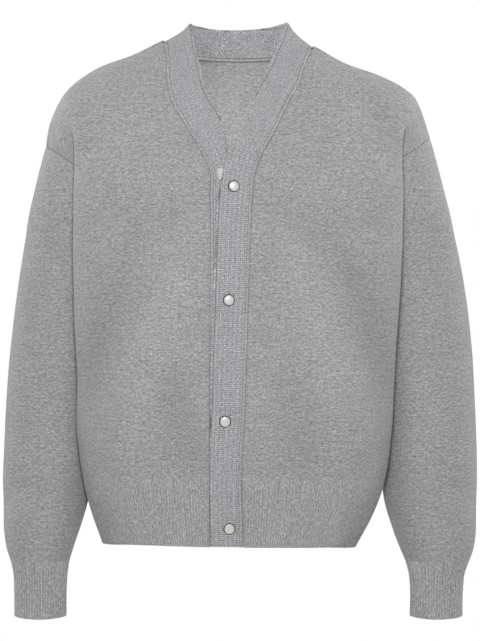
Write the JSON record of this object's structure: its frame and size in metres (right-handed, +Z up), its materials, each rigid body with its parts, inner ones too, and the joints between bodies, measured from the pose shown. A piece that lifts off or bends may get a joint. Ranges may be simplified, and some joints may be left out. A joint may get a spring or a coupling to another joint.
{
  "type": "button cardigan",
  "caption": "Boxy V-neck cardigan in plain grey marl knit, filled out as worn, with drop shoulders, a ribbed hem and cuffs, and domed snaps down a knitted front band.",
  "frame": {"origin": "in the middle of the neck opening, on the shoulder line and level with the high shoulder points, where the wearer's shoulders hold it up", "axes": "+Z up, +X to the wearer's left, and the buttoned front faces -Y"},
  "size_m": [0.6142, 0.2509, 0.7713],
  "materials": {
    "marl_knit": "matt fine plain knit, grey marl",
    "marl_rib": "matt fine one-by-one rib, grey marl",
    "band_knit": "matt dense knit with courses across the band",
    "tape": "smooth woven tape, pale grey",
    "snap_metal": "pearl silver, softly glossy dome in a thin rim"
  },
  "bodies": {
    "root": {"front_right": "marl_knit", "front_left": "marl_knit", "back": "marl_knit", "sleeve_right": "marl_knit", "sleeve_left": "marl_knit", "cuff_right": "marl_rib", "cuff_left": "marl_rib", "hem_rib_right": "marl_rib", "hem_rib_left": "marl_rib", "hem_rib_back": "marl_rib", "front_band": "band_knit", "placket_tape": "tape", "snap_cap_1": "snap_metal", "snap_cap_2": "snap_metal", "snap_cap_3": "snap_metal", "snap_cap_4": "snap_metal", "snap_back_1": "snap_metal", "snap_back_2": "snap_metal", "snap_back_3": "snap_metal", "snap_back_4": "snap_metal"}
  },
  "joints": []
}
